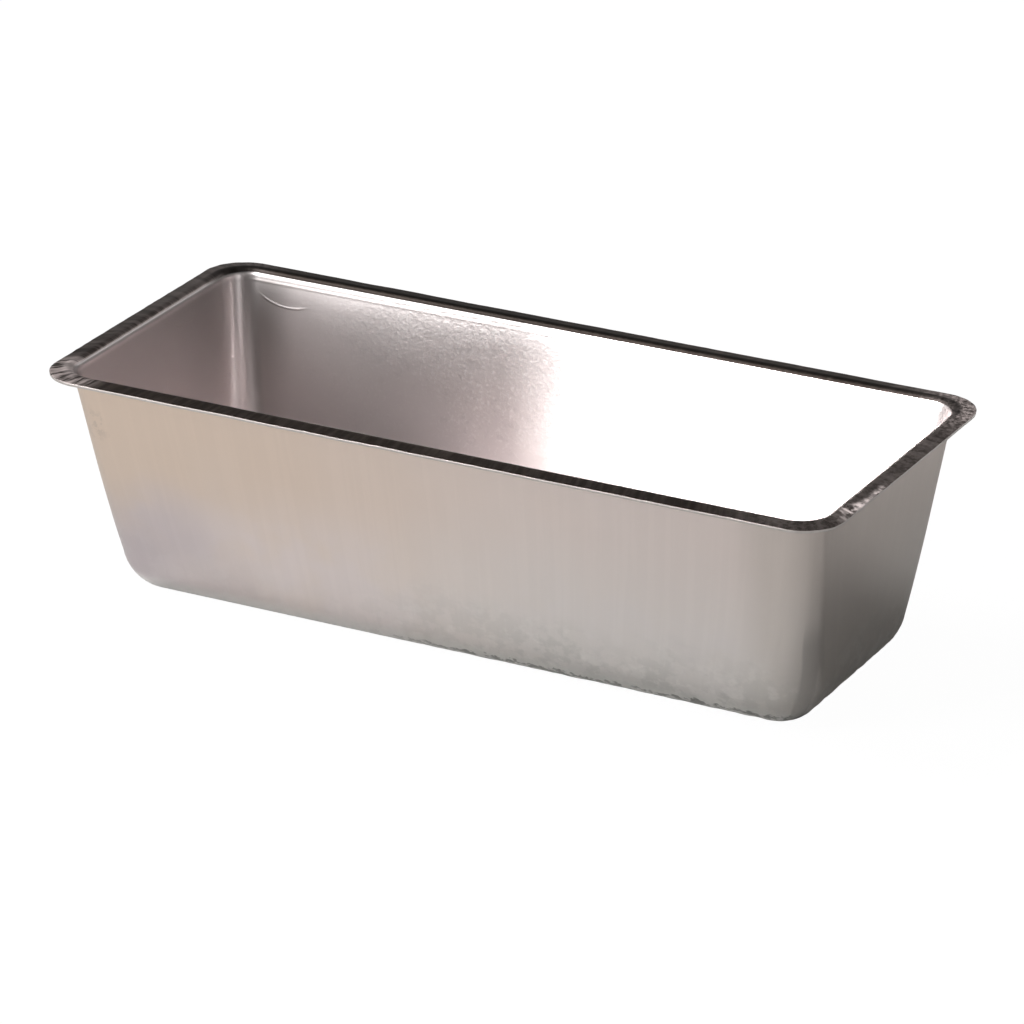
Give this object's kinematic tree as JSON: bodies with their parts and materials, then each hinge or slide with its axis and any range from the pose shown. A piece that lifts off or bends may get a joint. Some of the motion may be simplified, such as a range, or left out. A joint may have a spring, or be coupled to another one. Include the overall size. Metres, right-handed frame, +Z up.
{
  "type": "loaf pan",
  "caption": "Deep rectangular loaf pan with sloping walls, rounded corners and base edge, and a flat turned-out rim, for baking or holding a loaf.",
  "frame": {"origin": "centre of the base's underside, which is the plane the pan stands on", "axes": "+X along the pan's length, +Y across its width, +Z up, out of the mouth"},
  "size_m": [0.25, 0.11, 0.072],
  "materials": {
    "drawn_aluminium": "satin, as drawn, slightly darkened by use"
  },
  "bodies": {
    "root": {"pan_body": "drawn_aluminium"}
  },
  "joints": []
}
